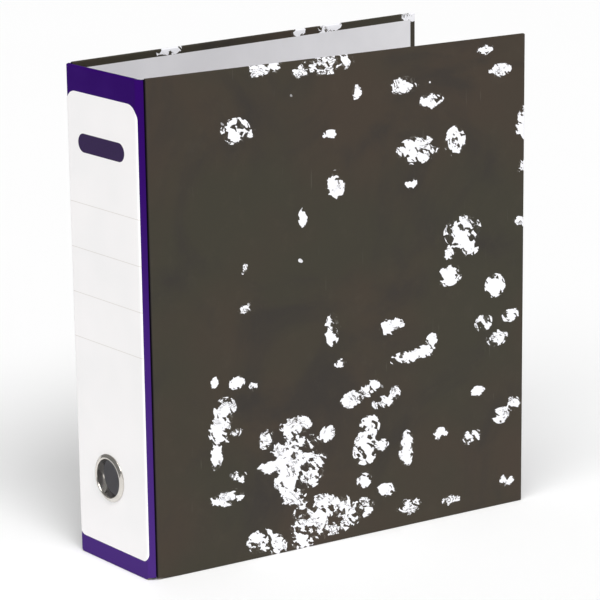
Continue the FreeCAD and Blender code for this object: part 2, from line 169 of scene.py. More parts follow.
class Paint:
    """A material on the Principled shader. Constants go on the shader's own sockets."""

    def __init__(self, name, **constants):
        """A fresh material whose surface takes the constants given."""
        self.material = bpy.data.materials.new(name)
        self.material.use_nodes = True
        self.tree = self.material.node_tree
        self.shader = self.tree.nodes["Principled BSDF"]
        for socket, value in constants.items():
            self.shader.inputs[socket.replace("_", " ")].default_value = value

    def node(self, kind, settings=None, inputs=None, output=0):
        """Any node: its settings first, then the values or links of its sockets."""
        node = self.tree.nodes.new("ShaderNode" + kind)
        for key, value in (settings or {}).items():
            setattr(node, key, value)
        for key, value in (inputs or {}).items():
            self.plug(node.inputs[key], value)
        return Value(self, node.outputs[output])

    def plug(self, socket, value):
        """Link a Value to a socket, or set the socket's own value."""
        if isinstance(value, Value):
            self.tree.links.new(value.socket, socket)
        else:
            socket.default_value = value

    def feed(self, **sockets):
        """Give the shader's sockets what changes over the surface."""
        for socket, value in sockets.items():
            self.plug(self.shader.inputs[socket.replace("_", " ")], value)
        return self.material

    def place(self, scale=(1, 1, 1), turn=(0, 0, 0), shift=(0, 0, 0)):
        """Object coordinates, scaled, turned and shifted."""
        coordinates = self.node("TexCoord", output="Object")
        inputs = {"Vector": coordinates, "Scale": scale, "Rotation": turn, "Location": shift}
        return self.node("Mapping", {}, inputs)

    def axis(self, name):
        """One coordinate of the object, in metres."""
        coordinates = self.node("TexCoord", output="Object")
        return self.node("SeparateXYZ", {}, {"Vector": coordinates}, output=name)

    def noise(self, scale, detail=4.0, roughness=0.55, place=None, distortion=0.0):
        """Noise between 0 and 1, with its scale in cycles per metre."""
        inputs = {
            "Vector": place or self.place(),
            "Scale": scale,
            "Detail": detail,
            "Roughness": roughness,
            "Distortion": distortion,
        }
        return self.node("TexNoise", {}, inputs)

    def cells(self, scale, output="Distance", place=None):
        """Cells with their scale in cycles per metre."""
        return self.node("TexVoronoi", {}, {"Vector": place or self.place(), "Scale": scale}, output=output)

    def split(self, colour):
        """The first channel of a colour."""
        return self.node("SeparateColor", {}, {0: colour})

    def vector(self, operation, first, second):
        """Vector Math between two vectors."""
        return self.node("VectorMath", {"operation": operation}, {0: first, 1: second})

    def step(self, value, low, high, start=0.0, end=1.0):
        """A smooth step from start to end as value goes from low to high."""
        inputs = {"Value": value, "From Min": low, "From Max": high, "To Min": start, "To Max": end}
        return self.node("MapRange", {"interpolation_type": "SMOOTHSTEP"}, inputs)

    def mix(self, first, second, factor):
        """A colour between two colours."""
        inputs = {"Factor": factor, 6: first, 7: second}
        return self.node("Mix", {"data_type": "RGBA"}, inputs, output=2)

    def bump(self, height, distance, strength):
        """A normal from a height in units of distance."""
        return self.node("Bump", {}, {"Height": height, "Distance": distance, "Strength": strength})


def srgb(red, green, blue):
    """A screen colour of 0 to 255 as linear values."""
    def linear(value):
        """One channel, with the screen's curve taken off."""
        value /= 255
        return value / 12.92 if value <= 0.04045 else ((value + 0.055) / 1.055) ** 2.4

    return (linear(red), linear(green), linear(blue), 1.0)


# ---- Materials ----
def marbled_paper():
    """Dark olive-brown clouded paper with torn white chips where the fleck attribute is high.

    Each chip is a cell with its own random height. It is white where that height and the density together
    pass a half, so a fleck is whole at its middle and breaks into angular chips towards its rim."""
    paint = Paint("marbled_paper", Roughness=0.5)
    paint.shader.inputs["Specular IOR Level"].default_value = 0.2
    density = paint.node("Attribute", {"attribute_name": "fleck"}, output="Fac")
    # The joint attribute carries painted shade: it is 1 at the paper's edge down in the groove by the crease.
    joint = paint.node("Attribute", {"attribute_name": "joint"}, output="Fac")
    lean = paint.place(turn=(0.65, 0, 0))
    stretched = paint.vector("MULTIPLY", lean, (1.0, 0.6, 1.0))
    wander = paint.node("TexNoise", {}, {"Vector": lean, "Scale": 300.0, "Detail": 3.0}, output="Color")
    wander = paint.vector("SUBTRACT", wander, (0.5, 0.5, 0.5))
    torn = paint.vector("ADD", stretched, paint.vector("MULTIPLY", wander, (0.0016, 0.0016, 0.0016)))
    plate = paint.split(paint.cells(230.0, output="Color", place=torn))
    chip = paint.split(paint.cells(520.0, output="Color", place=torn))
    fine = paint.noise(1500.0, 4.0, 0.7)
    height = density * 0.85 + (plate - 0.5) * 1.15 + (chip - 0.5) * 0.75
    near = paint.step(density, 0.02, 0.3)
    height = height * near + (fine - 0.5) * 0.1
    veins = abs(paint.noise(130.0, 4.0, 0.62, torn, 1.4) - 0.5)
    veined = paint.step(paint.noise(80.0, 2.0, 0.5), 0.5, 0.6)
    cracks = paint.step(veins, 0.012, 0.026, 1.0, 0.0) * veined
    white = paint.step(height, 0.5, 0.54) * (1 - cracks)
    streaked = paint.step(paint.noise(520.0, 3.0, 0.7, torn), 0.5, 0.66)
    smudge = near * paint.step(height, -0.1, 0.5) * streaked * 0.3
    scatter = paint.step(paint.noise(9.0, 2.0, 0.5, paint.place(shift=(4, 1, 8))), 0.5, 0.62)
    dot_pick = paint.split(paint.cells(150.0, output="Color", place=torn))
    dot_edge = paint.cells(150.0, place=torn) - paint.step(dot_pick, 0.9, 1.0, 0.02, 0.22)
    dots = paint.step(dot_edge, -0.03, 0.0, 1.0, 0.0) * paint.step(dot_pick, 0.9, 0.91) * scatter
    hair_place = paint.place(scale=(1, 1, 0.05), turn=(0.62, 0, 0))
    hair = paint.step(paint.noise(620.0, 2.0, 0.5, hair_place), 0.72, 0.8) * 0.06
    cloud = paint.noise(11.0, 5.0, 0.62, distortion=1.0)
    tint = paint.noise(7.0, 3.0, 0.5, paint.place(shift=(2, 5, 1)))
    mottle = paint.noise(75.0, 6.0, 0.72)
    ground = paint.mix(srgb(62, 53, 44), srgb(56, 53, 43), paint.step(tint, 0.38, 0.62))
    ground = paint.mix(ground, srgb(50, 46, 42), paint.step(cloud, 0.45, 0.72))
    ground = paint.mix(ground, srgb(72, 65, 55), paint.step(mottle, 0.5, 0.85) * 0.4)
    ground = paint.mix(ground, srgb(46, 43, 37), paint.step(fine, 0.6, 0.8) * 0.2)
    ground = paint.mix(ground, srgb(176, 174, 168), (smudge + hair).clamped())
    chalk = paint.mix(srgb(242, 242, 246), srgb(222, 222, 227), paint.step(fine, 0.5, 0.78))
    colour = paint.mix(ground, chalk, white.larger(dots))
    # Painted shade: the paper goes almost black (20, 16, 26) where the joint attribute is high, in place of
    # the groove's shadow.
    colour = paint.mix(colour, srgb(20, 16, 26), joint * 0.88)
    fibre = paint.noise(900.0, 3.0, 0.6)
    wave = paint.noise(35.0, 2.0, 0.5)
    normal = paint.bump(fibre * 0.4 + wave * 3.0, 0.00006, 0.5)
    return paint.feed(Base_Color=colour, Roughness=0.44 + fibre * 0.16, Normal=normal)


def purple_covering():
    """Deep purple plastic-coated paper with a fine pressed grain, with painted floor-bounce light making it
    lighter towards the bottom and painted shade down in the joint.
    """
    paint = Paint("purple_covering", Roughness=0.4)
    paint.shader.inputs["Specular IOR Level"].default_value = 0.01
    # The joint attribute carries painted shade for the groove between the crease and the cover.
    joint = paint.node("Attribute", {"attribute_name": "joint"}, output="Fac")
    grain = paint.cells(1500.0)
    cloth = paint.noise(2200.0, 2.0, 0.5)
    broad = paint.noise(16.0, 3.0, 0.5)
    # Painted floor-bounce light: the purple is painted lighter towards the bottom, where the white floor
    # lights it.
    painted_bounce_light = paint.step(paint.axis("Z"), 0.0, 0.3, 1.0, 0.0)
    colour = paint.mix(srgb(45, 9, 93), srgb(70, 43, 116), painted_bounce_light)
    colour = paint.mix(colour, srgb(62, 30, 114), paint.step(broad, 0.45, 0.75) * 0.4)
    colour = paint.mix(colour, srgb(30, 4, 70), paint.step(cloth, 0.55, 0.8) * 0.4)
    # Painted shade: the purple goes nearly black (12, 4, 26) down in the groove, where the joint attribute is
    # high.
    colour = paint.mix(colour, srgb(12, 4, 26), joint)
    normal = paint.bump(grain * 0.6 + cloth * 0.4, 0.00003, 0.4)
    return paint.feed(Base_Color=colour, Roughness=0.3 + cloth * 0.16, Normal=normal)


def lining_paper():
    """Pale grey lining paper with a fine fibre."""
    paint = Paint("lining_paper", Roughness=0.7)
    paint.shader.inputs["Specular IOR Level"].default_value = 0.25
    fibre = paint.noise(1400, 4.0, 0.65)
    broad = paint.noise(22, 3.0, 0.5)
    colour = paint.mix(srgb(226, 225, 228), srgb(219, 218, 221), paint.step(broad, 0.35, 0.7))
    colour = paint.mix(colour, srgb(196, 194, 198), paint.step(fibre, 0.58, 0.8) * 0.4)
    wave = paint.noise(40, 2.0, 0.5)
    return paint.feed(Base_Color=colour, Normal=paint.bump(fibre * 0.5 + wave * 2.0, 0.00005, 0.5))


def label_paper():
    """White label paper, with four fine ruled lines and a plain purple patch with round ends."""
    paint = Paint("label_paper", Roughness=0.55)
    paint.shader.inputs["Specular IOR Level"].default_value = 0.12
    across = paint.axis("X")
    height = paint.axis("Z")
    fibre = paint.noise(1600, 4.0, 0.6)
    broad = paint.noise(18, 2.0, 0.5)
    colour = paint.mix(srgb(239, 237, 237), srgb(235, 234, 234), paint.step(broad, 0.35, 0.7))
    colour = paint.mix(colour, srgb(232, 230, 228), paint.step(fibre, 0.6, 0.85) * 0.35)
    ruled = 0.0
    for line in LABEL_LINES:
        ruled = ruled + paint.step(abs(height - line), LABEL_LINE_HALF * 0.6, LABEL_LINE_HALF * 1.3, 1.0, 0.0)
    colour = paint.mix(colour, srgb(206, 201, 196), ruled * (0.75 + (fibre - 0.5) * 0.5))
    straight = PATCH_HALF[0] - PATCH_HALF[1]
    along = (abs(across - PATCH_CENTRE[0]) - straight).larger(0.0)
    rise = height - PATCH_CENTRE[1]
    reach = (along * along + rise * rise).root()
    patch = paint.step(reach, PATCH_HALF[1] - 0.15 * MM, PATCH_HALF[1] + 0.1 * MM, 1.0, 0.0)
    ink = paint.mix(srgb(38, 12, 66), srgb(30, 8, 54), paint.step(fibre, 0.45, 0.75))
    colour = paint.mix(colour, ink, patch)
    normal = paint.bump(fibre * 0.6 - ruled * 0.4, 0.00003, 0.45)
    return paint.feed(Base_Color=colour, Roughness=0.56 - patch * 0.14, Normal=normal)


def greyboard():
    """Grey pulp board with long fibres and specks."""
    paint = Paint("greyboard", Roughness=0.85)
    fibre = paint.noise(700, 5.0, 0.7, paint.place(scale=(1, 1, 0.25)))
    specks = paint.cells(500)
    colour = paint.mix(srgb(150, 142, 130), srgb(122, 115, 104), paint.step(fibre, 0.4, 0.7))
    colour = paint.mix(colour, srgb(84, 78, 70), paint.step(specks, 0.05, 0.16, 0.6, 0.0))
    return paint.feed(Base_Color=colour, Normal=paint.bump(fibre, 0.0001, 0.5))


def plated(name, colour, dull, roughness, brush):
    """Nickel plate: a bright metal with a fine brushed grain, faint handling marks and duller clouds."""
    paint = Paint(name, Metallic=1.0)
    grain = paint.noise(2600, 3.0, 0.6, paint.place(scale=brush))
    clouds = paint.noise(60, 4.0, 0.6)
    wiped = paint.place(scale=(1, 0.07, 1), turn=(0.4, 0.3, 0.8))
    marks = paint.step(paint.noise(420, 2.0, 0.5, wiped), 0.66, 0.72)
    tone = paint.mix(colour, dull, paint.step(clouds, 0.45, 0.8) * 0.8)
    gloss = roughness + (grain - 0.5) * 0.16 + paint.step(clouds, 0.5, 0.8) * 0.08 + marks * 0.10
    normal = paint.bump(grain - marks * 0.3, 0.000012, 0.6)
    return paint.feed(Base_Color=tone, Roughness=gloss, Normal=normal)


def black_plastic():
    """Moulded black plastic with a fine spark-eroded texture."""
    paint = Paint("black_plastic", Roughness=0.45)
    grain = paint.noise(3200, 3.0, 0.6)
    rub = paint.noise(150, 4.0, 0.6)
    colour = paint.mix(srgb(26, 26, 28), srgb(44, 44, 46), paint.step(rub, 0.5, 0.8) * 0.6)
    return paint.feed(Base_Color=colour, Roughness=0.4 + grain * 0.2, Normal=paint.bump(grain, 0.00004, 0.6))


PAINTS = {
    "marbled_paper": marbled_paper(),
    "purple_cloth_paper": purple_covering(),
    "lining_paper": lining_paper(),
    "label_paper": label_paper(),
    "greyboard": greyboard(),
    "black_plastic": black_plastic(),
}
for name, bright, dull, roughness, brush in (
    ("ring_nickel", (214, 210, 203), (186, 182, 174), 0.13, (1, 1, 1)),
    ("mechanism_nickel", (204, 203, 199), (178, 176, 171), 0.24, (1, 1, 0.06)),
    ("arch_nickel", (216, 215, 211), (190, 188, 183), 0.17, (1, 1, 1)),
    ("roller_steel", (188, 187, 184), (160, 158, 154), 0.28, (1, 0.06, 1)),
    ("spring_steel", (128, 126, 124), (96, 94, 92), 0.3, (1, 1, 1)),
):
    PAINTS[name] = plated(name, srgb(*bright), srgb(*dull), roughness, brush)


# ---- Meshes ----
def smooth(share):
    """A smooth step: 0 below 0, 1 above 1."""
    share = np.clip(share, 0, 1)
    return share**2 * (3 - 2 * share)


def grid_faces(rows, columns, close_rows=False, close_columns=False, start=0):
    """Quads between neighbouring rows and columns of points, row after row, closed round where asked."""
    row = np.arange(rows if close_rows else rows - 1)[:, None]
    column = np.arange(columns if close_columns else columns - 1)[None, :]
    next_row = (row + 1) % rows
    next_column = (column + 1) % columns
    corners = [
        row * columns + column,
        row * columns + next_column,
        next_row * columns + next_column,
        next_row * columns + column,
    ]
    return start + np.stack([np.broadcast_to(c, (row.size, column.size)) for c in corners], -1).reshape(-1, 4)


def piece(name, points, faces, body, slot, sharp=40.0, **attributes):
    """A closed mesh from points and quads: doubles merged, faces turned outwards, smooth between sharp edges.

    Each attribute holds one value for each point, for the paint to read."""
    mesh = bpy.data.meshes.new(name)
    mesh.from_pydata(points.reshape(-1, 3).tolist(), [], faces.tolist())
    for key, value in attributes.items():
        mesh.attributes.new(key, "FLOAT", "POINT").data.foreach_set("value", value.ravel().astype(np.float32))
    tidy(mesh)
    return finish_piece(name, mesh, body, slot, sharp)


def tidy(mesh, merge=0.000002, flat=None):
    """Merge points that meet, join flat faces where asked, and turn every face outwards."""
    work = bmesh.new()
    work.from_mesh(mesh)
    bmesh.ops.remove_doubles(work, verts=work.verts, dist=merge)
    bmesh.ops.dissolve_degenerate(work, edges=work.edges, dist=merge / 2)
    if flat:
        bmesh.ops.dissolve_limit(work, angle_limit=math.radians(flat), verts=work.verts, edges=work.edges)
    bmesh.ops.recalc_face_normals(work, faces=work.faces)
    work.to_mesh(mesh)
    work.free()


def finish_piece(name, mesh, body, slot, sharp=40.0):
    """Shade the mesh, give it its paint and let it ride on its body."""
    mesh.shade_smooth()
    mesh.set_sharp_from_angle(angle=math.radians(sharp))
    mesh.materials.clear()
    mesh.materials.append(PAINTS[slot])
    made = bpy.data.objects.new(name, mesh)
    bpy.context.scene.collection.objects.link(made)
    if body:
        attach(made, body)
    return made


def edge_samples(length, radius, step):
    """Places along a side: close together round both folded edges, evenly spaced between them."""
    turn = np.linspace(0, math.pi / 2, 5)
    fold = radius * (1 - np.cos(turn))
    inner = np.linspace(radius, length - radius, max(2, int(round((length - 2 * radius) / step))) + 1)
    return np.concatenate([fold[:-1], inner, (length - fold[:-1])[::-1]])


def slab(length, height, thickness, radius, step, swell=None):
    """A board with folded edges. Both faces are height fields over the board's length and height: full
    thickness inside, and a quarter circle down to the rim. swell adds a gentle wave to the outer face.
    Gives points as (thickness, length, height), thickness 0 at the outer face, and faces."""
    along = edge_samples(length, radius, step)
    up = edge_samples(height, radius, step)
    u, z = np.meshgrid(along, up, indexing="ij")
    inset = np.minimum(np.minimum(u, length - u), np.minimum(z, height - z)).clip(0, radius)
    fold = radius - np.sqrt((radius**2 - (radius - inset) ** 2).clip(0))
    outer = fold + (swell(u, z) * (inset / radius) if swell else 0)
    inner = thickness - fold
    points = np.concatenate([np.stack([t, u, z], -1).reshape(-1, 3) for t in (outer, inner)])
    rows, columns = u.shape
    first = grid_faces(rows, columns)
    second = grid_faces(rows, columns, start=rows * columns)
    index = np.arange(rows * columns).reshape(rows, columns)
    rim = np.concatenate([index[:, 0], index[-1, 1:], index[-2::-1, -1], index[0, -2:0:-1]])
    after = np.roll(rim, -1)
    shift = rows * columns
    band = np.stack([rim, after, after + shift, rim + shift], -1)
    return points, np.concatenate([first, second, band])


def ribbon(outer, inner, heights):
    """A strip with a constant section between an outer and an inner line, carried up the given heights.

    The section's loop runs along the outer line and back along the inner one; both ends are closed."""
    loop = np.concatenate([outer, inner[::-1]])
    count = len(loop)
    half = len(outer)
    z = np.broadcast_to(heights[:, None, None], (len(heights), count, 1))
    plan = np.broadcast_to(loop[None], (len(heights), count, 2))
    points = np.concatenate([plan, z], -1)
    faces = grid_faces(len(heights), count, close_columns=True)
    near = np.arange(half - 1)
    cap = np.stack([near, near + 1, count - 2 - near, count - 1 - near], -1)
    return points, np.concatenate([faces, cap, cap + (len(heights) - 1) * count])


def revolve(profile, centre, axis):
    """A closed profile of (radius, distance along the axis) turned all the way round the axis."""
    angle = np.linspace(0, 2 * math.pi, REVOLVE_SIDES, endpoint=False)
    axis = Vector(axis).normalized()
    first = axis.orthogonal().normalized()
    second = axis.cross(first)
    radius, along = profile[:, 0], profile[:, 1]
    ring = np.cos(angle)[:, None] * np.array(first) + np.sin(angle)[:, None] * np.array(second)
    points = np.array(centre) + radius[None, :, None] * ring[:, None] + along[None, :, None] * np.array(axis)
    return points, grid_faces(REVOLVE_SIDES, len(profile), True, True)


def arc_points(centre, radius, start, end, count):
    """Points of a circle's arc between two angles in degrees."""
    angle = np.radians(np.linspace(start, end, count))
    return np.stack([centre[0] + radius * np.cos(angle), centre[1] + radius * np.sin(angle)], -1)


def tube(path, radii, sides):
    """A round section carried along a path. Each ring stands square to the path, and its first spoke is
    carried from ring to ring by the smallest turn. The end rings shrink to points."""
    path = np.asarray(path, float)
    radii = np.broadcast_to(radii, len(path)).astype(float)
    along = np.gradient(path, axis=0)
    along /= np.linalg.norm(along, axis=1, keepdims=True)
    spoke = np.array(Vector(along[0]).orthogonal().normalized())
    spokes = []
    for direction in along:
        spoke = spoke - direction * spoke.dot(direction)
        spoke = spoke / np.linalg.norm(spoke)
        spokes.append(spoke)
    first = np.array(spokes)
    second = np.cross(along, first)
    angle = np.linspace(0, 2 * math.pi, sides, endpoint=False)
    ring = np.cos(angle)[None, :, None] * first[:, None] + np.sin(angle)[None, :, None] * second[:, None]
    points = path[:, None] + radii[:, None, None] * ring
    first_end, last_end = [np.broadcast_to(p, (1, sides, 3)) for p in (path[0], path[-1])]
    points = np.concatenate([first_end, points, last_end])
    return points, grid_faces(len(points), sides, close_columns=True)


# ---- The covers ----
# White flecks in the marbled paper: (distance from the crease, height, half length, half height), in mm.
# Most places in FRONT_FLECKS, and the half sizes they started from, were worked out by another program.
# BACK_FLECKS was made up.
FRONT_FLECKS = [
    (63, 279, 8, 6), (82, 315, 7, 3), (91, 316, 4, 3), (111, 311, 5, 3), (129, 314, 15, 5),
    (74, 276, 2, 2), (135, 236, 5, 7), (111, 219, 2, 4), (131, 269, 3, 2), (197, 251, 12, 7),
    (187, 294, 8, 4), (208, 282, 7, 4), (151, 294, 3, 3), (226, 254, 6, 7), (249, 311, 4, 2),
    (261, 296, 6, 3), (192, 230, 3, 2), (232, 193, 11, 8), (238, 181, 5, 4), (222, 165, 7, 5),
    (258, 153, 6, 6), (249, 129, 5, 4), (260, 117, 6, 4), (271, 131, 5, 3), (280, 258, 4, 9),
    (280, 231, 3, 5), (278, 194, 4, 3), (132, 143, 4, 8), (177, 138, 7, 4), (68, 166, 3, 2),
    (68, 192, 1, 2), (137, 119, 3, 2), (146, 94, 6, 4), (161, 99, 6, 4), (179, 93, 3, 3),
    (170, 88, 6, 3), (45, 122, 2, 2), (61, 119, 4, 3), (73, 115, 2, 2), (52, 103, 6, 6),
    (49, 90, 7, 8), (59, 87, 3, 2), (103, 83, 9, 5), (82, 78, 4, 5), (127, 74, 4, 4),
    (159, 73, 6, 6), (156, 59, 7, 9), (168, 59, 4, 3), (188, 53, 4, 9), (187, 115, 8, 3),
    (202, 117, 6, 3), (208, 124, 3, 3), (239, 52, 6, 4), (263, 63, 5, 4), (274, 70, 4, 4),
    (269, 17, 4, 3), (106, 58, 15, 7), (115, 52, 8, 9), (86, 59, 8, 3), (52, 45, 9, 4),
    (101, 37, 7, 5), (109, 13, 8, 14), (120, 18, 7, 12), (77, 11, 8, 6), (89, 5, 5, 6),
    (136, 24, 6, 6), (124, 28, 7, 4), (155, 38, 4, 4), (172, 28, 6, 3), (153, 19, 7, 5),
    (145, 13, 5, 4), (189, 13, 7, 4), (223, 11, 5, 2), (133, 9, 7, 3), (58, 58, 2, 2),
    (64, 56, 2, 2), (45, 73, 3, 6), (215, 59, 4, 3), (245, 83, 4, 2), (222, 180, 3, 3),
    (95, 48, 6, 6), (104, 70, 14, 5),
]
BACK_FLECKS = [
    (75, 317, 7, 3), (180, 317, 4, 3), (205, 317, 8, 3), (276, 316, 5, 3), (240, 290, 9, 6),
    (60, 262, 8, 10), (150, 240, 14, 8), (172, 252, 5, 4), (101, 205, 5, 6), (222, 214, 10, 12),
    (238, 196, 6, 5), (40, 190, 3, 3), (64, 150, 9, 12), (75, 133, 6, 5), (186, 160, 6, 4),
    (140, 128, 3, 3), (245, 128, 7, 9), (262, 110, 4, 3), (120, 92, 12, 7), (139, 84, 7, 6),
    (205, 82, 8, 6), (30, 74, 5, 9), (84, 48, 7, 5), (172, 40, 14, 9), (190, 29, 8, 7),
    (233, 42, 5, 4), (58, 20, 12, 8), (75, 10, 9, 7), (128, 15, 6, 5), (262, 22, 9, 10),
]


def fleck_density(u, z, flecks):
    """How white the paper is: about 1 at the middle of a fleck, more in a small one, and 0 well outside,
    falling with the square of the distance measured in the fleck's own half sizes."""
    density = np.zeros_like(u)
    for centre_u, centre_z, half_u, half_z in flecks:
        reach = ((u / MM - centre_u) / half_u) ** 2 + ((z / MM - centre_z) / half_z) ** 2
        whole = 1 + 1.0 / min(half_u, half_z)
        density = np.maximum(density, whole - reach / 2)
    return density


def board_wave(u, z):
    """The faint unevenness of paper glued over board: three slow waves crossing."""
    return 0.00005 * (
        np.sin(2 * math.pi * (u / 0.11 + z / 0.19))
        + np.sin(2 * math.pi * (z / 0.083 - u / 0.21) + 1.3)
        + np.sin(2 * math.pi * (u / 0.061) + 0.4)
    )


def drawn_in(z, low, high):
    """Heights shrunk so that the bottom rises by low and the top sinks by high."""
    return low + z * (1 - (low + high) / FILE_HEIGHT)


def cover_place(points, mirrored):
    """Points given as (thickness, length from the joint, height) on the back cover, or on the front one."""
    t, u, z = points.T
    x = back_low.x + t
    y = back_low.y + JOINT_GAP + u
    if not mirrored:
        return np.stack([x, y, z], -1)
    turn = np.array(Matrix.Rotation(-splay, 3, "Z"))
    return (np.stack([-x, y, z], -1) - np.array(front_hinge)) @ turn.T + np.array(front_hinge)


def cover(side, flecks, mirrored):
    """One cover in place: its greyboard, and round it the marbled paper with its flecks and the painted shade
    of its edge down in the joint as attributes. The corners are rounded by drawing the height in near both
    ends, and the bottom corner by the joint is worn softer."""
    body = side + "_cover"
    length = COVER_LENGTH - JOINT_GAP
    points, faces = slab(length, FILE_HEIGHT, COVER_THICKNESS, FOLD_RADIUS, COVER_STEP, board_wave)
    u, z = points[:, 1], points[:, 2].copy()
    density = fleck_density(u + JOINT_GAP, z, flecks)
    # Painted shade: joint is 1 at the paper's edge by the crease and 0 beyond 0.8 mm, so the paint darkens it
    # like the groove's shadow.
    joint = 1 - smooth(u / (0.8 * MM))
    near_end = np.minimum(u, length - u).clip(0, CORNER_RADIUS)
    drop = CORNER_RADIUS - np.sqrt(CORNER_RADIUS**2 - (CORNER_RADIUS - near_end) ** 2)
    soft = (LOW_DRAW - CORNER_RADIUS) * (1 - u / SOFT_CORNER).clip(0) ** 2
    points[:, 2] = drawn_in(z, drop + soft, drop)
    placed = cover_place(points, mirrored)
    made = piece(side + "_marbled_paper", placed, faces, body, "marbled_paper", fleck=density, joint=joint)
    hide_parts(side + "_covering")
    skin = PAPER_THICKNESS + CORNER_RADIUS / 2
    size = (length - 2 * skin, FILE_HEIGHT - 2 * skin, COVER_THICKNESS - 2 * PAPER_THICKNESS)
    points, faces = slab(*size, BOARD_EDGE, BOARD_STEP)
    placed = cover_place(points + np.array([PAPER_THICKNESS, skin, skin]), mirrored)
    made = piece(side + "_greyboard", placed, faces, body, "greyboard")
    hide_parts(side + "_board")


def creases():
    """The purple folds and the lining's folds at both creases, each bending between spine and cover.

    The fold's outer line leaves the spine's face round a small shoulder, runs slantwise up to a ridge and
    dips into the joint under the cover's paper. Its inner line joins the two inner corners. The ends are
    drawn in towards the cover, where the covering is folded over the corner."""
    heights = np.concatenate([[0.0], np.linspace(0.8 * MM, FILE_HEIGHT - 0.8 * MM, 60), [FILE_HEIGHT]])
    flat = FLAT_HALF
    face = spine_low.y
    inside = spine_high.y
    cover_face = -back_low.x
    cover_inside = -back_high.x
    near = back_low.y
    shoulder = arc_points((flat - SHOULDER_START, face + SHOULDER_RADIUS), SHOULDER_RADIUS, -90, -45, 7)
    ridge = arc_points((cover_face - 0.75 * MM, near - 0.05 * MM), 0.55 * MM, -45, 60, 6)
    dip = np.array([
        [cover_face - 1.3 * MM, near + 0.6 * MM],
        [cover_face - 1.7 * MM, near + 1.1 * MM],
        [cover_face - 1.7 * MM, near + 2.4 * MM],
    ])
    outer = np.concatenate([shoulder, ridge, dip])
    # Painted shade: deep is 0 over the shoulder and ridge and rises to 1 in the dip, where the paint darkens
    # the purple like the groove's shadow.
    deep = np.concatenate([np.zeros(len(shoulder) + 3), [0.3, 0.8, 1.0], np.ones(len(dip))])
    share = np.linspace(0, 1, len(outer))
    corner = np.array([
        [flat - SHOULDER_START, inside - 0.4 * MM],
        [flat + 0.1 * MM, inside - 0.1 * MM],
        [cover_inside + 0.1 * MM, near - 0.1 * MM],
        [cover_inside + 0.4 * MM, near + 2.4 * MM],
    ])
    stops = np.linspace(0, 1, len(corner))
    inner = np.stack([np.interp(share, stops, corner[:, k]) for k in (0, 1)], -1)
    skin = 0.05 * MM
    lining_outer = np.array([
        [flat - 3.0 * MM, lining_high.y - 2 * skin],
        [flat - 0.2 * MM, lining_high.y - 2 * skin],
        [-back_lining_high.x + 2 * skin, near - 0.2 * MM],
        [-back_lining_high.x + 2 * skin, near + 3.0 * MM],
    ])
    lining_inner = lining_outer + np.array([[0, 3], [-2, 3], [-3, 2], [-3, 0]]) * skin
    margin = back_lining_low.z
    lining_heights = np.linspace(margin, FILE_HEIGHT - margin, 60)
    for side, sign, body in (("front", 1, "front_cover"), ("back", -1, "back_cover")):
        for kind, first, second, rise, slot, groove_shade, draw in (
            ("crease", outer, inner, heights, "purple_cloth_paper", deep, 1.0),
            ("crease_lining", lining_outer, lining_inner, lining_heights, "lining_paper", np.zeros(4), 0.0),
        ):
            points, faces = ribbon(first, second, rise)
            # The joint attribute carries the painted groove shade; the lining fold gets none.
            joint = np.broadcast_to(np.concatenate([groove_shade, groove_shade[::-1]]), points.shape[:2])
            points = points.reshape(-1, 3)
            drop = draw * (0.6 + 0.4 * smooth((points[:, 0] - flat) / (cover_face - flat) * 2))
            points[:, 2] = drawn_in(points[:, 2], drop * LOW_DRAW, drop * HIGH_DRAW)
            points = points * np.array([sign, 1, 1])
            if side == "front":
                points = lean(points, first[0], first[-1])
            made = piece(side + "_" + kind + "_fold", points, faces, None, slot, joint=joint)
            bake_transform(made)
            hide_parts(side + "_" + kind)


def lean(points, start, end):
    """Turn the part of a front fold that lies by the cover outwards with it.

    The turn grows from nothing at the spine, as a smooth step of the way from start to end."""
    direction = np.append(end - start, 0)
    reach = direction.dot(direction)
    weight = (points - np.append(start, 0)) @ direction / reach
    weight = smooth(weight)
    weight = np.where(points[:, 1] > back_low.y - 0.5 * MM, 1, weight)
    angle = -splay * weight
    x = points[:, 0] - front_hinge.x
    y = points[:, 1] - front_hinge.y
    turned_x = x * np.cos(angle) - y * np.sin(angle) + front_hinge.x
    turned_y = x * np.sin(angle) + y * np.cos(angle) + front_hinge.y
    return np.stack([turned_x, turned_y, points[:, 2]], -1)


# ---- The spine ----
def holed_plate(outline, inset, face, back, fold, loops=12):
    """A plate round the finger hole. Each column of points lies on one ray from the hole's centre: out
    over the front, round the folded rim, and back over the rear to the hole.

    outline and inset are the rim and the flat face's edge, as (x, z)."""
    centre = np.array([RING_X, RING_Z])
    ray = outline - centre
    ray /= np.linalg.norm(ray, axis=1, keepdims=True)
    round_hole = centre + BARREL_RADIUS * ray
    depth = back - face
    shares = np.sin(np.linspace(0, math.pi / 2, loops))
    lines = [(round_hole + (inset - round_hole) * share, face) for share in shares]
    for turn in np.linspace(0, math.pi / 2, 5)[1:]:
        reach = inset + (outline - inset) * math.sin(turn)
        lines.append((reach, face + fold * (1 - math.cos(turn))))
    lines += [(plan, face + depth - (y - face)) for plan, y in lines[::-1]]
    points = np.stack([np.insert(plan, 1, y, axis=1) for plan, y in lines])
    return points, grid_faces(len(lines), len(outline), True, True)


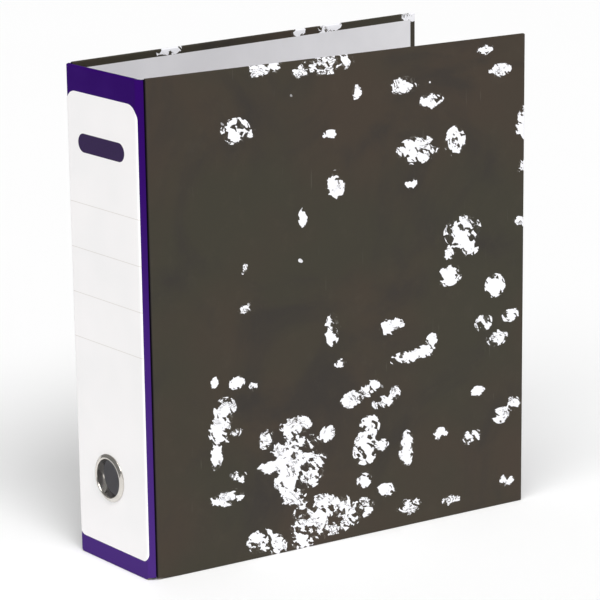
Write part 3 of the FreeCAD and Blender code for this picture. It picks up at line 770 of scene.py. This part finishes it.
def round_outline(low, high, low_radius, high_radius, inset=0.0, step=3.0 * MM):
    """A rectangle in the plane of the spine with rounded corners, as (x, z) points in order."""
    x0, z0, x1, z1 = low[0] + inset, low[1] + inset, high[0] - inset, high[1] - inset
    r0, r1 = low_radius - inset, high_radius - inset
    corners = [
        arc_points((x1 - r0, z0 + r0), r0, -90, 0, 10),
        arc_points((x1 - r1, z1 - r1), r1, 0, 90, 14),
        arc_points((x0 + r1, z1 - r1), r1, 90, 180, 14),
        arc_points((x0 + r0, z0 + r0), r0, 180, 270, 10),
    ]
    line = []
    for corner, following in zip(corners, corners[1:] + corners[:1]):
        gap = following[0] - corner[-1]
        count = int((high[1] - low[1] if abs(gap[1]) > abs(gap[0]) else high[0] - low[0]) / step)
        straight = corner[-1] + gap * np.linspace(0, 1, count + 1)[1:-1, None]
        line += [corner, straight]
    return np.concatenate(line)


def spine_covering():
    """The purple sheet over the spine, folded over the top and bottom edges."""
    low = (spine_low.x, 0.0)
    high = (spine_high.x, FILE_HEIGHT)
    outline = round_outline(low, high, LOW_DRAW, HIGH_DRAW)
    inset = outline.copy()
    inset[:, 1] = outline[:, 1].clip(FOLD_RADIUS, FILE_HEIGHT - FOLD_RADIUS)
    points, faces = holed_plate(outline, inset, spine_low.y, spine_high.y, FOLD_RADIUS)
    made = piece("spine_purple_covering", points, faces, "spine", "purple_cloth_paper")
    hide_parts("spine_covering")


def spine_label():
    """The white label, its corners rounded and both its sides carried round the creases' shoulders."""
    low = (label_low.x - LABEL_OVERHANG, label_low.z)
    high = (label_high.x + LABEL_OVERHANG, label_high.z)
    outline = round_outline(low, high, LABEL_LOW_RADIUS, LABEL_TOP_RADIUS, step=2.0 * MM)
    edge = 0.05 * MM
    inset = round_outline(low, high, LABEL_LOW_RADIUS, LABEL_TOP_RADIUS, edge, step=2.0 * MM)
    points, faces = holed_plate(outline, inset, label_low.y, label_high.y, edge, loops=28)
    points = points.reshape(-1, 3)
    begin = FLAT_HALF - SHOULDER_START
    side = np.sign(points[:, 0])
    past = (abs(points[:, 0]) - begin).clip(0)
    angle = (past / SHOULDER_RADIUS).clip(0, math.pi / 4)
    lift = label_high.y - points[:, 1]
    beyond = (past - SHOULDER_RADIUS * angle) * math.sqrt(0.5)
    wide = begin + (SHOULDER_RADIUS + lift) * np.sin(angle) + beyond
    deep = label_high.y + SHOULDER_RADIUS - (SHOULDER_RADIUS + lift) * np.cos(angle) + beyond
    points[:, 0] = np.where(past > 0, side * wide, points[:, 0])
    points[:, 1] = np.where(past > 0, deep, points[:, 1])
    made = piece("spine_white_label", points, faces, "spine", "label_paper")
    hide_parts("spine_label")


def finger_ring():
    """The nickel ring: a barrel whose outer end rolls over into a wide lip and whose inner end curls
    over a flat washer. Its profile is (radius, distance outwards from the hole's middle)."""
    middle = (ring_low.y + ring_high.y) / 2
    face = middle - label_low.y
    crest = middle - ring_low.y + 0.6 * MM
    inside = middle - lining_high.y
    back = middle - ring_high.y
    bore = RING_BORE
    flange = RING_FLANGE
    sheet = 0.45 * MM
    roll = arc_points((bore + 0.95 * MM, crest - 0.95 * MM), 0.95 * MM, 180, 60, 10)
    slope = np.array([[flange - 0.8 * MM, face + 0.75 * MM]])
    rim = arc_points((flange - 0.45 * MM, face + 0.42 * MM), 0.42 * MM, 50, -90, 8)
    outside = bore + sheet
    under = np.array([[outside + 0.3 * MM, face], [outside, face - 0.2 * MM], [outside, inside]])
    curl = arc_points((outside + 0.35 * MM, back + 0.3 * MM), 0.3 * MM, 20, -160, 8)
    lip = np.array([[outside + 0.5 * MM, inside - 0.6 * MM]])
    wall = np.array([[bore, back + 0.6 * MM]])
    profile = np.concatenate([roll, slope, rim, under, lip, curl, wall])
    points, faces = revolve(profile, (RING_X, middle, RING_Z), (0, -1, 0))
    made = piece("finger_ring_rolled", points, faces, "spine", "ring_nickel", sharp=60)
    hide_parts("finger_ring")


# ---- The mechanism ----
def arch_path():
    """The wire's centre line: both arches and the shaft, as straight runs and quarter circles."""
    shaft_x = (rocker_low.x + rocker_high.x) / 2
    near = wire_low.y + WIRE_RADIUS
    far = wire_high.y - WIRE_RADIUS
    top = wire_high.x - WIRE_RADIUS
    upper = wire_high.z - WIRE_RADIUS
    tip = post_high.x + TIP_GAP
    crown = CROWN_RADIUS
    foot = FOOT_RADIUS

    def line(start, end):
        """A straight run, without its last point."""
        start, end = np.array(start), np.array(end)
        count = max(2, int(np.linalg.norm(end - start) / WIRE_STEP))
        return start + (end - start) * np.linspace(0, 1, count, endpoint=False)[:, None]

    def bend(centre, radius, start, end, z):
        """A quarter circle square to the shaft, without its last point."""
        plan = arc_points(centre, radius, start, end, 16)[:-1]
        return np.stack([plan[:, 1], plan[:, 0], np.full(len(plan), z)], -1)

    legs = [
        line((tip, far, upper), (top - crown, far, upper)),
        bend((far - crown, top - crown), crown, 0, 90, upper),
        line((top, far - crown, upper), (top, near + crown, upper)),
        bend((near + crown, top - crown), crown, 90, 180, upper),
        line((top - crown, near, upper), (shaft_x + foot, near, upper)),
    ]
    turn = arc_points((shaft_x + foot, upper - foot), foot, 90, 180, 12)[:-1]
    legs.append(np.stack([turn[:, 0], np.full(len(turn), near), turn[:, 1]], -1))
    half = np.concatenate(legs)
    middle = (wire_low.z + wire_high.z) / 2
    shaft = line((shaft_x, near, upper - foot), (shaft_x, near, 2 * middle - upper + foot))
    other = half[::-1] * np.array([1, 1, -1]) + np.array([0, 0, 2 * middle])
    return np.concatenate([half, shaft, other])


def arch_wire():
    """The bright wire of both arches, each tip ending in a small cone that sits in its post."""
    path = arch_path()
    tip = np.array([1.0, 0.0, 0.0])
    steps = np.array([-1.35, -1.3, -0.2, -0.05, 0.0]) * MM
    cone = np.array([0.25, 0.35, 1.45, 1.9, 2.2]) * MM
    first = path[0] + steps[:, None] * tip
    last = path[-1] + steps[::-1, None] * tip
    whole = np.concatenate([first[:-1], path, last[1:]])
    radii = np.concatenate([cone[:-1], np.full(len(path), WIRE_RADIUS), cone[::-1][1:]])
    points, faces = tube(whole, radii, 28)
    made = piece("arch_bright_wire", points, faces, "arches", "arch_nickel")
    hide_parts("arch_wire")


def arch_spring():
    """The coiled spring round the shaft: a helix with one leg on the base and one under the rocker."""
    centre_x = (spring_low.x + spring_high.x) / 2
    centre_y = (spring_low.y + spring_high.y) / 2
    wire = SPRING_WIRE
    radius = (spring_high.x - spring_low.x) / 2 - wire
    angle = np.linspace(0, 2 * math.pi * SPRING_TURNS, 460)
    z = np.linspace(spring_low.z + wire, spring_high.z - wire, len(angle))
    coil = np.stack([centre_x - radius * np.cos(angle), centre_y + radius * np.sin(angle), z], -1)
    reach = np.linspace(0, 1, 14)[:, None]
    first = coil[0] + np.array([0, -1, 0]) * reach[::-1] * 8 * MM + np.array([0, 0, 0.2 * MM]) * reach[::-1]
    leg = np.array([-0.1 * MM, 9.5 * MM, 5.2 * MM])
    last = coil[-1] + leg * reach
    path = np.concatenate([first[:-1], coil, last[1:]])
    points, faces = tube(path, wire, 12)
    made = piece("arch_coil_spring", points, faces, None, "spring_steel")
    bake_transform(made)
    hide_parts("arch_spring")


def worked(node, body, slot, width):
    """A pressed, turned or moulded part: its own shape with every sharp edge softly rounded."""
    source = frame["nodes"][node]
    mesh = source.data.copy()
    mesh.name = node + "_worked"
    tidy(mesh, 0.000005, flat=1.0)
    made = finish_piece(node + "_worked", mesh, body, slot, sharp=35)
    rounding = made.modifiers.new("rounding", "BEVEL")
    rounding.width = width
    rounding.segments = 2
    rounding.limit_method = "ANGLE"
    rounding.angle_limit = math.radians(40)
    rounding.harden_normals = True
    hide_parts(node)


def mechanism():
    """Every part of the mechanism that keeps its own shape."""
    for node, body, slot, width in (
        ("base_plate", "back_cover", "mechanism_nickel", 0.22),
        ("base_rivets", "back_cover", "mechanism_nickel", 0.12),
        ("post_upper", "back_cover", "arch_nickel", 0.18),
        ("post_lower", "back_cover", "arch_nickel", 0.18),
        ("lever_pin", "back_cover", "mechanism_nickel", 0.25),
        ("arch_rocker", "arches", "mechanism_nickel", 0.2),
        ("lever", "lever", "mechanism_nickel", 0.25),
        ("roller_pin", "lever", "mechanism_nickel", 0.2),
        ("roller", "roller", "roller_steel", 0.15),
        ("compressor_bar", "compressor", "mechanism_nickel", 0.18),
        ("lock_tab_pins", "compressor", "mechanism_nickel", 0.1),
        ("lock_tab_upper", "lock_tab_upper", "black_plastic", 0.3),
        ("lock_tab_lower", "lock_tab_lower", "black_plastic", 0.3),
    ):
        worked(node, body, slot, width * MM)


def paint_frame():
    """Every node that keeps its own mesh gets the finish of its slot."""
    slots = {part["node"]: part["material_slot"] for part in frame["record"]["subparts"]}
    for node, thing in frame["nodes"].items():
        for slot in thing.material_slots:
            slot.material = PAINTS[slots[node]]


# ---- The studio ----
def studio():
    """A flat pale floor that runs far out on all sides, a white surround and two soft lights."""
    scene = bpy.context.scene
    scene.view_settings.view_transform = "Standard"
    floor_paint = Paint("floor_paint", Roughness=0.9)
    tone = floor_paint.noise(3, 2.0, 0.5)
    colour = floor_paint.mix((0.96, 0.96, 0.96, 1), (0.94, 0.94, 0.94, 1), tone)
    floor_paint.feed(Base_Color=colour)
    mesh = bpy.data.meshes.new("floor")
    half = FLOOR_HALF
    corners = [(-half, -half, 0), (half, -half, 0), (half, half, 0), (-half, half, 0)]
    mesh.from_pydata(corners, [], [(0, 1, 2, 3)])
    mesh.materials.append(floor_paint.material)
    floor = bpy.data.objects.new("floor", mesh)
    scene.collection.objects.link(floor)
    world = bpy.data.worlds.new("surround")
    world.use_nodes = True
    world.node_tree.nodes["Background"].inputs["Color"].default_value = (1, 1, 1, 1)
    world.node_tree.nodes["Background"].inputs["Strength"].default_value = 0.25
    scene.world = world
    for name, place, spread, power in (
        ("key_light", (0.35, -0.75, 0.85), 40, 1.5),
        ("overhead_light", (0.8, -0.25, 1.0), 30, 1.95),
    ):
        light = bpy.data.lights.new(name, "SUN")
        light.angle = math.radians(spread)
        light.energy = power
        lamp = bpy.data.objects.new(name, light)
        lamp.rotation_euler = Vector(place).to_track_quat("Z", "Y").to_euler()
        scene.collection.objects.link(lamp)


def camera():
    """The camera: a long lens, to the right of the spine and a little above the file."""
    right = Vector(CAMERA_RIGHT).normalized()
    up = Vector(CAMERA_UP).normalized()
    back = right.cross(up).normalized()
    up = back.cross(right)
    turn = Matrix((right, up, back)).transposed().to_4x4()
    lens = bpy.data.cameras.new("camera")
    lens.sensor_width = SENSOR_WIDTH
    lens.lens = CAMERA_LENS
    view = bpy.data.objects.new("camera", lens)
    view.matrix_world = Matrix.Translation(CAMERA_PLACE) @ turn
    bpy.context.scene.collection.objects.link(view)
    bpy.context.scene.camera = view


camera()
studio()
cover("front", FRONT_FLECKS, True)
cover("back", BACK_FLECKS, False)
creases()
spine_covering()
spine_label()
finger_ring()
arch_wire()
arch_spring()
mechanism()
paint_frame()
